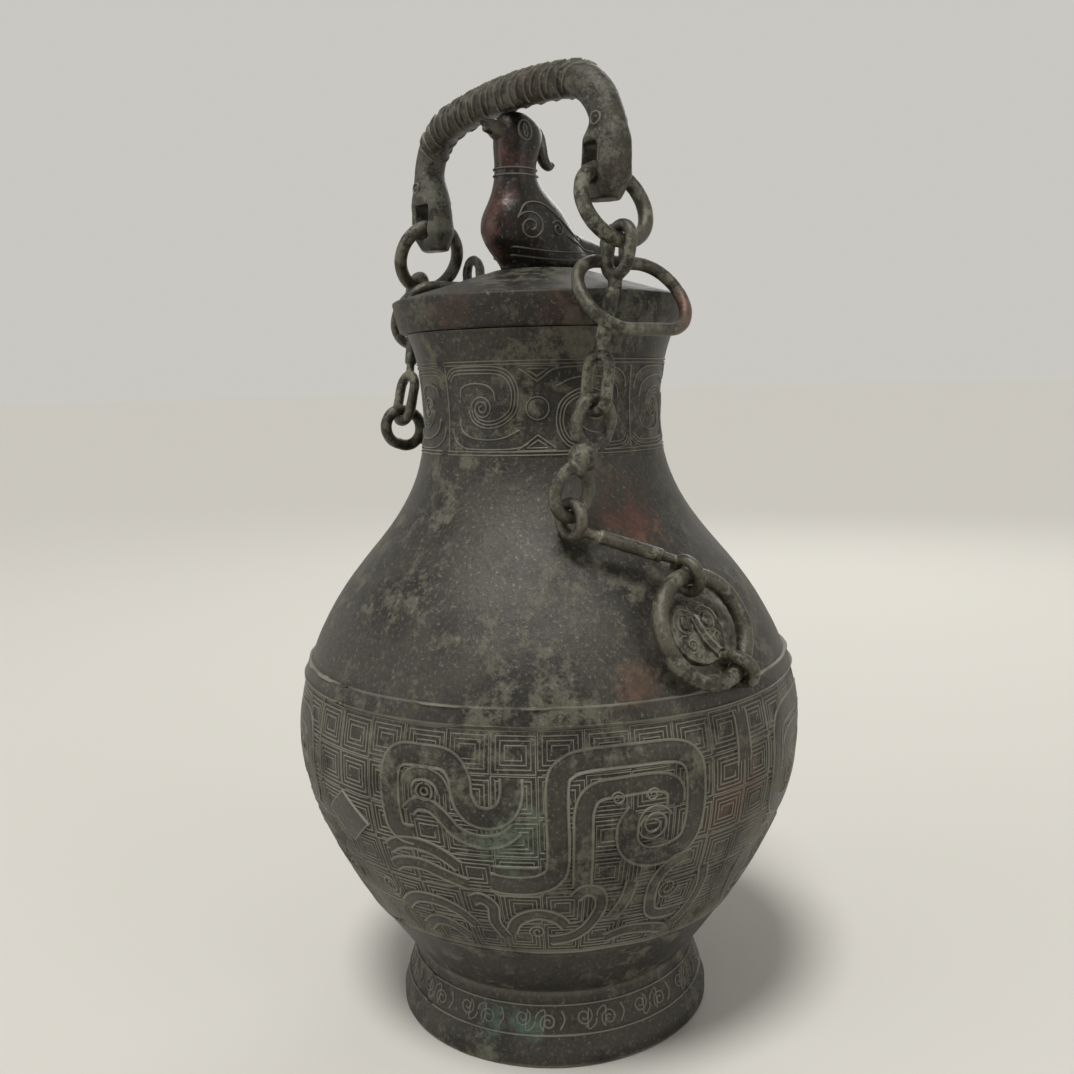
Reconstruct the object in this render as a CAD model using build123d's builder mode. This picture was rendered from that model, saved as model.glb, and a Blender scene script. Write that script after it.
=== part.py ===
import os
from math import acos, atan2, cos, degrees, hypot, radians, sin, sqrt

from build123d import *

os.makedirs("parts", exist_ok=True)

# A bronze hu: pear-shaped vessel on a ring foot, domed lid with a bird, and a serpent
# handle carried by two three-link chains. Millimetres, +Z up, origin at the centre of
# the foot's base. +X points to the right-hand mask, and the bird faces -Y.

# Vessel outline: radius of each turning point, and its rise above the one before it
foot_radius = 57.0
foot_lip = 4.0
foot_bend_radius = 54.2
foot_bend_rise = 8.0
waist_radius = 51.3
waist_rise = 11.5
ridge_radius = 67.3
ridge_rise = 22.5
belly_radius = 90.0
belly_rise = 61.0
shoulder_radius = 69.9
shoulder_rise = 53.0
throat_radius = 51.0
throat_rise = 24.0
neck_base_radius = 42.9
neck_base_rise = 21.0
neck_radius = 42.0
neck_rise = 12.0
collar_radius = 43.6
collar_rise = 16.5
mouth_radius = 46.8
mouth_rise = 11.1
wall = 3.6
foot_wall = 5.5
floor_thickness = 5.0

# Plain raised band between shoulder and belly, and the ridge under the belly frieze
band_rise = 20.3
band_width = 5.2
band_relief = 0.8
ridge_width = 1.6
ridge_relief = 0.7

# Lid
lid_radius = 51.8
lid_foot_inset = 2.4
lid_rim = 10.6
lid_crown_radius = 17.0
lid_crown_rise = 10.3
lid_wall = 3.0
plug_depth = 9.0
plug_wall = 3.0

# Mask lug on the shoulder and the ring it holds
mask_drop = 11.5
mask_offset = -2.5
mask_radius = 10.6
mask_thickness = 2.8
mask_boss_radius = 2.2
mask_boss_spread = 4.6
mask_boss_offset = 3.0
mask_boss_rise = 1.5
mask_stem_radius = 3.2
mask_bridge_rise = 0.4
eye_angle = 32.0
eye_wire = 2.1
shoulder_ring_radius = 17.0
shoulder_ring_wire = 2.7
shoulder_ring_stand = 5.4
shoulder_ring_tilt = 6.5

# Chain links: wire radius, loop radius and straight length of each kind
lower_wire = 1.9
lower_loop_radius = 5.2
middle_wire = 2.1
middle_loop_radius = 6.4
middle_loop_straight = 2.4
upper_wire = 1.9
upper_loop_radius = 4.9
upper_loop_straight = 5.0
upper_tail_straight = 8.0
neck_wire = 1.6
bar_radius = 2.3
knob_radius = 4.6
lower_sleeve_inset = 6.0
upper_sleeve_inset = 4.6
foot_loop_turn = 12.5
chain_stand = 6.2
loop_gap = 0.3

# How the chains hang: length between pivots and lean towards the bird's facing side
lower_length = 37.6
middle_length = 25.5
lower_lean_angle = 47.5
middle_lean_angle = -23.0
left_upper_lean_angle = -14.0

# Serpent handle and its rings
handle_offset = -11.5
handle_eye_out = 1.6
handle_leg_out = 3.0
handle_tilt = 3.1
handle_radius = 5.7
handle_leg = 11.2
handle_corner = 21.0
handle_rise = 23.4
head_neck_angle = 17.0
head_neck_inset = 0.5
head_brow_rise = 8.6
head_brow_inner = 5.8
head_brow_outer = 9.6
head_brow_depth = 12.6
head_jaw_drop = 3.4
head_jaw_inner = 7.2
head_jaw_outer = 9.2
head_jaw_depth = 13.0
head_drop = 9.8
head_chin_inner = 5.6
head_chin_outer = 5.8
head_chin_depth = 9.0
head_facet = 3.2
slot_width = 7.4
slot_top = 7.0
slot_bottom = 5.2
handle_ring_radius = 12.4
handle_ring_wire = 2.4
handle_ring_lean = 22.0
ring_over_lid = 13.8

# Lid lugs and the oval guide rings
lug_inset = 4.4
right_lug_offset = -6.0
left_lug_offset = 4.5
lug_straight = 6.0
lug_wire = 1.8
lug_rise = 7.4
guide_wire = 2.1
guide_end_radius = 13.0
guide_straight = 16.0
guide_centre = -5.0
guide_hang = 56.0

# Bird finial
bird_gap = 0.4
bird_foot_width = 9.0
bird_body_width = 11.5
bird_neck_width = 6.4
bird_head_width = 6.8
bird_foot_front = -15.0
bird_foot_back = 13.0
bird_belly_front = -20.5
bird_belly_height = 8.0
bird_breast = -22.5
bird_back = 18.0
bird_body_height = 16.0
bird_body_back = 12.0
bird_chest_front = -18.5
bird_chest_back = 3.6
bird_chest_width = 8.4
bird_chest_height = 25.0
bird_neck_front = -17.0
bird_neck_back = -1.0
bird_neck_height = 31.0
bird_nape = 1.0
bird_head_height = 9.5
bird_brow_drop = 3.2
bird_brow_front = -16.0
bird_brow_back = 0.0
bird_brow_width = 5.8
bird_crown_front = -13.0
bird_crown_back = -5.0
bird_crown_width = 3.4
bird_beak_drop = 6.3
bird_beak_length = 8.5
bird_beak_radius = 3.4
bird_beak_tip = 1.0
bird_tail_root = 3.0
bird_tail_length = 12.0
bird_tail_radius = 6.0
bird_tail_tip = 3.0

# Clearances between pieces
lid_seat_gap = 0.3
plug_gap = 0.5
eye_gap = 0.5

# Heights that follow from the rises
foot_bend_height = foot_lip + foot_bend_rise
waist_height = foot_bend_height + waist_rise
ridge_height = waist_height + ridge_rise
belly_height = ridge_height + belly_rise
shoulder_height = belly_height + shoulder_rise
throat_height = shoulder_height + throat_rise
neck_base_height = throat_height + neck_base_rise
neck_height = neck_base_height + neck_rise
collar_height = neck_height + collar_rise
mouth_height = collar_height + mouth_rise
band_height = belly_height + band_rise
mask_height = shoulder_height - mask_drop

# Outer outline of the vessel above the waist, as radius and height
outline_points = [
    (waist_radius, waist_height),
    (ridge_radius, ridge_height),
    (belly_radius, belly_height),
    (shoulder_radius, shoulder_height),
    (throat_radius, throat_height),
    (neck_base_radius, neck_base_height),
    (neck_radius, neck_height),
    (collar_radius, collar_height),
    (mouth_radius, mouth_height),
]
outline = Spline(*outline_points)


def radius_at(height):
    """Outer radius of the vessel at a height above the waist."""
    low, high = 0.0, 1.0
    for _ in range(40):
        middle = (low + high) / 2
        if (outline @ middle).Y < height:
            low = middle
        else:
            high = middle
    return (outline @ low).X


def slope_at(height):
    """Angle in degrees that the vessel's surface faces upward."""
    step = 0.5
    run = radius_at(height - step) - radius_at(height + step)
    return degrees(atan2(run, 2 * step))


def lean_vector(lean):
    """Unit vector in the YZ plane, leaning from vertical towards -Y."""
    return Vector(0, -sin(radians(lean)), cos(radians(lean)))


def save(piece, label):
    """Label a finished piece and write it to its own file."""
    piece.part.label = label
    export_step(piece.part, f"parts/{label}.step")


# Vessel body
floor_height = waist_height + floor_thickness / 2
floor_under = waist_height - floor_thickness / 2
floor_radius = waist_radius - wall
inner_points = [(floor_radius, floor_height)]
inner_points += [(r - wall, h) for r, h in outline_points[1:]]

with BuildPart() as vessel_body:
    with BuildSketch(Plane.XZ):
        with BuildLine():
            Polyline(
                (foot_radius, foot_lip),
                (foot_radius, 0),
                (foot_radius - foot_wall, 0),
                (waist_radius - foot_wall, floor_under),
                (0, floor_under),
                (0, floor_height),
                (floor_radius, floor_height),
            )
            Spline(*inner_points)
            Line((mouth_radius - wall, mouth_height), (mouth_radius, mouth_height))
            Spline(*outline_points)
            ThreePointArc(
                (waist_radius, waist_height),
                (foot_bend_radius, foot_bend_height),
                (foot_radius, foot_lip),
            )
        make_face()
    revolve(axis=Axis.Z)
    for height, width, relief in (
        (band_height, band_width, band_relief),
        (ridge_height, ridge_width, ridge_relief),
    ):
        low_radius = radius_at(height)
        high_radius = radius_at(height + width)
        with BuildSketch(Plane.XZ):
            with BuildLine():
                Polyline(
                    (low_radius - wall / 2, height),
                    (low_radius + relief, height),
                    (high_radius + relief, height + width),
                    (high_radius - wall / 2, height + width),
                    close=True,
                )
            make_face()
        revolve(axis=Axis.Z)
save(vessel_body, "vessel_body")

# The vessel's outer shape without its hollow, for fitting the mask lugs
with BuildPart() as vessel_core:
    with BuildSketch(Plane.XZ):
        with BuildLine():
            Spline(*outline_points)
            Polyline(
                (mouth_radius, mouth_height),
                (0, mouth_height),
                (0, waist_height),
                (waist_radius, waist_height),
            )
        make_face()
    revolve(axis=Axis.Z)


# Lid: a shell with an upright rim, a low dome and a plug ring that enters the mouth
seat_height = mouth_height + lid_seat_gap
lid_top = seat_height + lid_rim
lid_apex = lid_top + lid_crown_rise
lid_foot_radius = lid_radius - lid_foot_inset
plug_radius = radius_at(seat_height - plug_depth) - wall - plug_gap
plug_inner = plug_radius - plug_wall


def lid_height_at(radius):
    """Height of the lid's top surface at a radius on its sloping part."""
    share = (lid_radius - radius) / (lid_radius - lid_crown_radius)
    return lid_top + share * lid_crown_rise


with BuildPart() as lid_cover:
    with BuildSketch(Plane.XZ):
        with BuildLine():
            Polyline(
                (0, lid_apex),
                (lid_crown_radius, lid_apex),
                (lid_radius, lid_top),
                (lid_foot_radius, seat_height),
                (plug_radius, seat_height),
                (plug_radius, seat_height - plug_depth),
                (plug_inner, seat_height - plug_depth),
                (plug_inner, lid_top - lid_wall),
                (lid_crown_radius, lid_apex - lid_wall),
                (0, lid_apex - lid_wall),
                close=True,
            )
        make_face()
    revolve(axis=Axis.Z)
save(lid_cover, "lid_cover")


# Mask lugs: a roundel lying on the shoulder, with two bosses and an eye for the ring
surface_point = Vector(sqrt(radius_at(mask_height) ** 2 - mask_offset**2), mask_offset, mask_height)
face_angle = radians(slope_at(mask_height))
mask_normal = Vector(cos(face_angle), 0, sin(face_angle))
mask_plane = Plane(origin=surface_point, x_dir=(0, 1, 0), z_dir=mask_normal)
ring_tilt = radians(shoulder_ring_tilt)
ring_normal = mask_plane.z_dir * cos(ring_tilt) - mask_plane.y_dir * sin(ring_tilt)
ring_plane = Plane(
    origin=mask_plane.from_local_coords((0, 0, shoulder_ring_stand)),
    x_dir=(0, 1, 0),
    z_dir=ring_normal,
)
eye_radius = shoulder_ring_wire + eye_gap + eye_wire
lug_eye_x = shoulder_ring_radius * sin(radians(eye_angle))
lug_eye_y = -shoulder_ring_radius * cos(radians(eye_angle))
eye_tangent = ring_plane.x_dir * cos(radians(eye_angle)) + ring_plane.y_dir * sin(radians(eye_angle))
eye_plane = Plane(origin=ring_plane.from_local_coords((lug_eye_x, lug_eye_y, 0)), z_dir=eye_tangent)
mask_depth = shoulder_ring_stand

with BuildPart() as right_mask_lug:
    with BuildSketch(mask_plane.offset(mask_thickness)):
        Circle(mask_radius)
    extrude(amount=-mask_depth)
    with BuildSketch(mask_plane.offset(mask_thickness)):
        with Locations((-mask_boss_spread, mask_boss_offset), (mask_boss_spread, mask_boss_offset)):
            Circle(mask_boss_radius)
    extrude(amount=mask_boss_rise)
    with BuildSketch(ring_plane.offset(-eye_radius)):
        with Locations((lug_eye_x, lug_eye_y)):
            Circle(mask_stem_radius)
    extrude(amount=-mask_depth)
    with BuildSketch(mask_plane.offset(mask_bridge_rise)):
        with Locations(Location((lug_eye_x / 2, lug_eye_y / 2), eye_angle)):
            Rectangle(2 * mask_stem_radius, shoulder_ring_radius)
    extrude(amount=-mask_depth)
    with Locations(eye_plane):
        Torus(eye_radius, eye_wire)
    add(vessel_core.part, mode=Mode.SUBTRACT)
    add(vessel_body.part, mode=Mode.SUBTRACT)
save(right_mask_lug, "right_mask_lug")

with BuildPart() as left_mask_lug:
    mirror(right_mask_lug.part, about=Plane.YZ)
save(left_mask_lug, "left_mask_lug")


# Shoulder rings
with BuildPart() as right_shoulder_ring:
    with Locations(ring_plane):
        Torus(shoulder_ring_radius, shoulder_ring_wire)
save(right_shoulder_ring, "right_shoulder_ring")

with BuildPart() as left_shoulder_ring:
    mirror(right_shoulder_ring.part, about=Plane.YZ)
save(left_shoulder_ring, "left_shoulder_ring")


# Chain pivots. The right chain is set by its leans, and its upper link reaches up to the
# handle ring. The left chain has the same links and hangs lower by the handle's tilt.
lug_x = lid_radius - lug_inset
handle_eye_half = lug_x + handle_eye_out
ring_lean = radians(handle_ring_lean)
ring_down = Vector(sin(ring_lean), 0, -cos(ring_lean))
ring_bottom_height = lid_top + ring_over_lid
eye_rise = 2 * handle_eye_half * sin(radians(handle_tilt))

right_pivots = [ring_plane.from_local_coords((0, shoulder_ring_radius, 0))]
lower_end = right_pivots[0] + lean_vector(lower_lean_angle) * lower_length
lower_end.X = radius_at(lower_end.Z) + chain_stand
right_pivots.append(lower_end)
right_pivots.append(lower_end + lean_vector(middle_lean_angle) * middle_length)
ring_centre = Vector(
    handle_eye_half + handle_ring_radius * ring_down.X,
    handle_offset,
    ring_bottom_height - handle_ring_radius * ring_down.Z,
)
right_pivots.append(ring_centre)
upper_run = ring_centre - right_pivots[2]
upper_length = hypot(upper_run.Y, upper_run.Z)
upper_lean = degrees(atan2(-upper_run.Y, upper_run.Z))
right_leans = [lower_lean_angle, middle_lean_angle, upper_lean]

left_foot = Vector(-right_pivots[0].X, right_pivots[0].Y, right_pivots[0].Z)
left_ring_centre = Vector(-ring_centre.X, ring_centre.Y, ring_centre.Z - eye_rise)
left_upper = left_ring_centre - lean_vector(left_upper_lean_angle) * upper_length
left_upper.X = -right_pivots[2].X
left_reach = left_upper - left_foot
reach_length = hypot(left_reach.Y, left_reach.Z)
reach_lean = degrees(atan2(-left_reach.Y, left_reach.Z))
foot_cosine = (lower_length**2 + reach_length**2 - middle_length**2) / (2 * lower_length * reach_length)
left_lower_lean = reach_lean - degrees(acos(foot_cosine))
left_knee = left_foot + lean_vector(left_lower_lean) * lower_length
left_knee.X = left_upper.X
left_middle = left_upper - left_knee
left_middle_lean = degrees(atan2(-left_middle.Y, left_middle.Z))
left_pivots = [left_foot, left_knee, left_upper, left_ring_centre]
left_leans = [left_lower_lean, left_middle_lean, left_upper_lean_angle]

# Distance from a loop's pivot to the centre of the loop hanging in it
lower_seat = middle_loop_radius + lower_loop_radius - middle_wire - lower_wire - loop_gap
upper_seat = middle_loop_radius + upper_loop_radius - middle_wire - upper_wire - loop_gap
ring_seat = handle_ring_radius + upper_loop_radius - handle_ring_wire - upper_wire - loop_gap


def add_loop(centre, across, along, radius, straight, wire):
    """Add an oval wire loop whose round end is centred on a point, reaching along a direction."""
    plane = Plane(origin=centre, x_dir=across, z_dir=across.cross(along))
    with BuildLine(plane) as path:
        Line((-radius, straight), (-radius, 0))
        ThreePointArc((-radius, 0), (0, -radius), (radius, 0))
        Line((radius, 0), (radius, straight))
        ThreePointArc((radius, straight), (0, straight + radius), (-radius, straight))
    with BuildSketch(Plane(origin=path.line @ 0, z_dir=path.line % 0)) as section:
        Circle(wire)
    sweep(sections=section.sketch, path=path.line)


def add_bar(start, end, radius, inset=0.0):
    """Add a round bar between two points, held back by an inset at both ends."""
    run = end - start
    bar_start = start + run.normalized() * inset
    with BuildSketch(Plane(origin=bar_start, z_dir=run)) as section:
        Circle(radius)
    extrude(to_extrude=section.sketch, amount=run.length - 2 * inset)


def loop_crown(centre, along, radius, straight):
    """Middle of a loop's wire at the end where its bar joins."""
    return centre + along * (radius + straight)


def make_lower_link(pivots, side):
    """Bar link from the shoulder ring up to the middle link."""
    foot, knee = pivots[0], pivots[1]
    top_centre = knee - Vector(0, 0, lower_seat)
    turn = radians(foot_loop_turn)
    foot_across = Vector(0, cos(turn), sin(turn))
    foot_up = Vector(-side * mask_normal.Z, 0, mask_normal.X)
    foot_along = (foot_up - foot_across * foot_up.dot(foot_across)).normalized()
    foot_end = loop_crown(foot, foot_along, lower_loop_radius, 0)
    reach = foot_end - top_centre
    top_along = Vector(reach.X, 0, reach.Z).normalized()
    top_end = loop_crown(top_centre, top_along, lower_loop_radius, 0)
    with BuildPart() as link:
        with Locations(Plane(origin=foot, x_dir=-foot_along, z_dir=foot_across)):
            Torus(lower_loop_radius, lower_wire)
        with Locations(Plane(origin=top_centre, x_dir=-top_along, z_dir=(0, 1, 0))):
            Torus(lower_loop_radius, lower_wire)
        add_bar(foot_end, top_end, neck_wire)
        add_bar(foot_end, top_end, bar_radius, lower_sleeve_inset)
    return link


def make_middle_link(pivots, leans):
    """Figure-eight link with a knob at its waist."""
    knee, elbow = pivots[1], pivots[2]
    up = lean_vector(leans[1])
    across = Vector(1, 0, 0).cross(up)
    low_end = loop_crown(knee, up, middle_loop_radius, middle_loop_straight)
    high_end = loop_crown(elbow, -up, middle_loop_radius, middle_loop_straight)
    with BuildPart() as link:
        add_loop(knee, across, up, middle_loop_radius, middle_loop_straight, middle_wire)
        add_loop(elbow, across, -up, middle_loop_radius, middle_loop_straight, middle_wire)
        add_bar(low_end, high_end, neck_wire)
        with Locations((low_end + high_end) / 2):
            Sphere(knob_radius)
    return link


def make_upper_link(pivots, leans, side):
    """Long link from the middle link up to the handle ring."""
    elbow, ring = pivots[2], pivots[3]
    up = lean_vector(leans[2])
    across = Vector(1, 0, 0)
    low_centre = elbow + up * upper_seat
    lean = radians(leans[2])
    down = Vector(side * ring_down.X, 0, ring_down.Z) * cos(lean) + Vector(0, sin(lean), 0)
    top_centre = ring + down * ring_seat
    axis = (low_centre - top_centre).normalized()
    top_across = axis.cross(Vector(0, cos(lean), sin(lean))).normalized()
    low_end = loop_crown(low_centre, up, upper_loop_radius, upper_tail_straight)
    top_end = loop_crown(top_centre, axis, upper_loop_radius, upper_loop_straight)
    with BuildPart() as link:
        add_loop(low_centre, across, up, upper_loop_radius, upper_tail_straight, upper_wire)
        add_loop(top_centre, top_across, axis, upper_loop_radius, upper_loop_straight, upper_wire)
        add_bar(low_end, top_end, neck_wire)
        add_bar(low_end, top_end, bar_radius, upper_sleeve_inset)
    return link


for name, side, pivots, leans in (
    ("right", 1, right_pivots, right_leans),
    ("left", -1, left_pivots, left_leans),
):
    save(make_lower_link(pivots, side), f"{name}_lower_link")
    save(make_middle_link(pivots, leans), f"{name}_middle_link")
    save(make_upper_link(pivots, leans, side), f"{name}_upper_link")
    with BuildPart() as handle_ring:
        ring_axis = Vector(side * cos(ring_lean), 0, sin(ring_lean))
        with Locations(Plane(origin=pivots[3], z_dir=ring_axis)):
            Torus(handle_ring_radius, handle_ring_wire)
    save(handle_ring, f"{name}_handle_ring")
    print(name, "leans", [round(a, 3) for a in leans])
    for label, point in zip(("foot", "knee", "elbow", "ring"), pivots):
        print(name, label, [round(c, 4) for c in point])


# Serpent handle: an arch of three arcs between two heads, each with a slot for its ring
right_eye = right_pivots[3] - ring_down * handle_ring_radius
left_eye = left_pivots[3] - Vector(-ring_down.X, 0, ring_down.Z) * handle_ring_radius
handle_plane = Plane(
    origin=(right_eye + left_eye) / 2,
    x_dir=(1, 0, 0),
    z_dir=(0, -1, 0),
)
eye_lift = (right_eye.Z - left_eye.Z) / 2
leg_half = handle_eye_half + handle_leg_out
corner_centre = leg_half - handle_corner
crown_radius = (corner_centre**2 + handle_rise**2 - handle_corner**2) / (2 * (handle_rise - handle_corner))
meet_angle = atan2(crown_radius - handle_rise, corner_centre)
meet_x = corner_centre + handle_corner * cos(meet_angle)
meet_y = handle_leg + handle_corner * sin(meet_angle)
half_meet = meet_angle / 2
corner_x = corner_centre + handle_corner * cos(half_meet)
corner_y = handle_leg + handle_corner * sin(half_meet)
crown_y = handle_leg + handle_rise

# Each head grows out of the bar part of the way up the corner
neck_angle = radians(head_neck_angle)
neck_x = corner_centre + handle_corner * cos(neck_angle)
neck_y = handle_leg + handle_corner * sin(neck_angle)
neck_side = 2 * (handle_radius - head_neck_inset)

# Head sections from brow to chin: height over the eye, inner and outer side, and depth
head_sections = [
    (head_brow_rise, head_brow_inner, head_brow_outer, head_brow_depth),
    (-head_jaw_drop, head_jaw_inner, head_jaw_outer, head_jaw_depth),
    (-head_drop, head_chin_inner, head_chin_outer, head_chin_depth),
]

with BuildPart() as serpent_handle:
    with BuildLine(handle_plane) as arch:
        Line((leg_half, eye_lift), (leg_half, handle_leg))
        ThreePointArc((leg_half, handle_leg), (corner_x, corner_y), (meet_x, meet_y))
        ThreePointArc((meet_x, meet_y), (0, crown_y), (-meet_x, meet_y))
        ThreePointArc((-meet_x, meet_y), (-corner_x, corner_y), (-leg_half, handle_leg))
        Line((-leg_half, handle_leg), (-leg_half, -eye_lift))
    with BuildSketch(Plane(origin=arch.line @ 0, z_dir=arch.line % 0)):
        Circle(handle_radius)
    sweep(path=arch.line)
    for end, eye in ((1, right_eye), (-1, left_eye)):
        neck_plane = Plane(
            origin=handle_plane.from_local_coords((end * neck_x, neck_y, 0)),
            x_dir=(cos(neck_angle), 0, end * sin(neck_angle)),
            z_dir=(-end * sin(neck_angle), 0, cos(neck_angle)),
        )
        with BuildSketch(neck_plane):
            chamfer(Rectangle(neck_side, neck_side).vertices(), head_facet)
        for rise, inner, outer, depth in head_sections:
            with BuildSketch(Plane(origin=eye + Vector(0, 0, rise))):
                with Locations((end * (outer - inner) / 2, 0)):
                    head_side = Rectangle(inner + outer, depth)
                chamfer(head_side.vertices(), head_facet)
        loft(ruled=True)
    for end in (1, -1):
        with BuildSketch(handle_plane):
            with Locations((end * handle_eye_half, end * eye_lift + (slot_top - slot_bottom) / 2)):
                Rectangle(slot_width, slot_top + slot_bottom)
        extrude(amount=head_jaw_depth, both=True, mode=Mode.SUBTRACT)
save(serpent_handle, "serpent_handle")


# Lid lugs and guide rings
lug_height = lid_height_at(lug_x) + lug_rise
lug_eye = guide_wire + eye_gap + lug_wire
hang = radians(guide_hang)
guide_down = Vector(cos(hang), 0, -sin(hang))
guide_plane = Plane(
    origin=Vector(lug_x, guide_centre, lug_height) + guide_down * guide_end_radius,
    x_dir=(0, 1, 0),
    z_dir=Vector(0, 1, 0).cross(guide_down),
)

for name, side, offset in (
    ("right", 1, right_lug_offset),
    ("left", -1, left_lug_offset),
):
    with BuildPart() as lid_lug:
        add_loop(
            Vector(side * lug_x, offset, lug_height),
            Vector(1, 0, 0),
            Vector(0, 0, 1),
            lug_eye,
            lug_straight,
            lug_wire,
        )
        with BuildSketch(Plane.XY.offset(lug_height - lug_eye)):
            with Locations((side * lug_x, offset)):
                Circle(lug_wire + eye_gap)
        extrude(amount=-lug_rise)
        add(lid_cover.part, mode=Mode.SUBTRACT)
    save(lid_lug, f"{name}_lid_lug")

half_straight = guide_straight / 2
with BuildPart() as right_guide_ring:
    with BuildLine(guide_plane) as oval:
        Line((-half_straight, guide_end_radius), (half_straight, guide_end_radius))
        ThreePointArc(
            (half_straight, guide_end_radius),
            (half_straight + guide_end_radius, 0),
            (half_straight, -guide_end_radius),
        )
        Line((half_straight, -guide_end_radius), (-half_straight, -guide_end_radius))
        ThreePointArc(
            (-half_straight, -guide_end_radius),
            (-half_straight - guide_end_radius, 0),
            (-half_straight, guide_end_radius),
        )
    with BuildSketch(Plane(origin=oval.line @ 0, z_dir=oval.line % 0)):
        Circle(guide_wire)
    sweep(path=oval.line)
save(right_guide_ring, "right_guide_ring")

with BuildPart() as left_guide_ring:
    mirror(right_guide_ring.part, about=Plane.YZ)
save(left_guide_ring, "left_guide_ring")


# Bird finial: a lofted body, neck and head, with a beak and a tail
handle_under = handle_plane.from_local_coords((0, crown_y - handle_radius, 0)).Z
bird_top = handle_under - bird_gap
bird_base = lid_apex
head_base = bird_top - bird_head_height
bird_sections = [
    (bird_base, bird_foot_front, bird_foot_back, bird_foot_width),
    (bird_base + bird_belly_height, bird_belly_front, bird_back, bird_body_width),
    (bird_base + bird_body_height, bird_breast, bird_body_back, bird_body_width),
    (bird_base + bird_chest_height, bird_chest_front, bird_chest_back, bird_chest_width),
    (bird_base + bird_neck_height, bird_neck_front, bird_neck_back, bird_neck_width),
    (head_base, bird_neck_front, bird_nape, bird_head_width),
    (bird_top - bird_brow_drop, bird_brow_front, bird_brow_back, bird_brow_width),
    (bird_top, bird_crown_front, bird_crown_back, bird_crown_width),
]

with BuildPart() as bird_finial:
    for height, front, back, half_width in bird_sections:
        with BuildSketch(Plane.XY.offset(height)):
            with Locations((0, (front + back) / 2)):
                Ellipse(half_width, (back - front) / 2)
    loft()
    beak_start = Vector(0, bird_neck_front + bird_beak_radius, bird_top - bird_beak_drop)
    with Locations(Plane(origin=beak_start, z_dir=(0, -1, 0))):
        Cone(bird_beak_radius, bird_beak_tip, bird_beak_length, align=(Align.CENTER, Align.CENTER, Align.MIN))
    tail_start = Vector(0, bird_back - bird_tail_root, bird_base + bird_belly_height)
    with Locations(Plane(origin=tail_start, z_dir=(0, 1, 0))):
        Cone(bird_tail_radius, bird_tail_tip, bird_tail_length, align=(Align.CENTER, Align.CENTER, Align.MIN))
save(bird_finial, "bird_finial")

print("lid", "seat", round(seat_height, 3), "top", round(lid_top, 3), "apex", round(lid_apex, 3))
print("handle under", round(handle_under, 3), "guide hinge", [round(lug_x, 3), round(lug_height, 3)])
print("ring plane", [round(c, 4) for c in ring_plane.origin], [round(c, 5) for c in ring_plane.z_dir])
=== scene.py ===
import math

import bpy
import numpy as np
from mathutils import Matrix, Vector, noise
from mathutils.bvhtree import BVHTree


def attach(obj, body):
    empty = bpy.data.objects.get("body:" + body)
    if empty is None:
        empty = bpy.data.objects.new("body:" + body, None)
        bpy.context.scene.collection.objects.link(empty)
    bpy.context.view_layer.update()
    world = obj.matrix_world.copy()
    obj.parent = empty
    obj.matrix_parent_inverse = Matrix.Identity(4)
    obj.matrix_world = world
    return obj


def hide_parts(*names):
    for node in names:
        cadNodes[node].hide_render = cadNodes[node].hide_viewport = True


# Bronze hu with a bird lid, chains and a serpent handle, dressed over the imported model
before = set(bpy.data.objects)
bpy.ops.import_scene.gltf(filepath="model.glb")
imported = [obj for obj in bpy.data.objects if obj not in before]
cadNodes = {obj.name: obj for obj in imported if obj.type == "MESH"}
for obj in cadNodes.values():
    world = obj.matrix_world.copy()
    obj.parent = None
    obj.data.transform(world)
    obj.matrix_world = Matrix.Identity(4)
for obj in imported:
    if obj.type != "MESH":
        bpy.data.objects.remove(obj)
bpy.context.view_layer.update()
scene = bpy.context.scene
mm = 0.001


def freshStart():
    if bpy.context.object and bpy.context.object.mode != "OBJECT":
        bpy.ops.object.mode_set(mode="OBJECT")
    bpy.ops.object.select_all(action="DESELECT")


def pickUp(piece):  # the piece alone is selected and active
    freshStart()
    piece.select_set(True)
    bpy.context.view_layer.objects.active = piece


def applyModifiers(piece):
    pickUp(piece)
    for modifier in list(piece.modifiers):
        bpy.ops.object.modifier_apply(modifier=modifier.name)


def cloudTexture(name, size):  # lumps of a real size in mm
    texture = bpy.data.textures.new(name, "CLOUDS")
    texture.noise_scale = size * mm
    texture.noise_depth = 2
    return texture


def roughen(piece, size, rise):  # uneven casting, lumps of size mm that rise by rise mm
    modifier = piece.modifiers.new("unevenCasting", "DISPLACE")
    modifier.texture = cloudTexture(piece.name + "Lumps", size)
    modifier.texture_coords = "LOCAL"
    modifier.strength = rise * mm
    modifier.mid_level = 0.5


def surfaceTree(piece):  # for finding the piece's surface with rays
    mesh = piece.data
    return BVHTree.FromPolygons([v.co for v in mesh.vertices], [tuple(p.vertices) for p in mesh.polygons])


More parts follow.
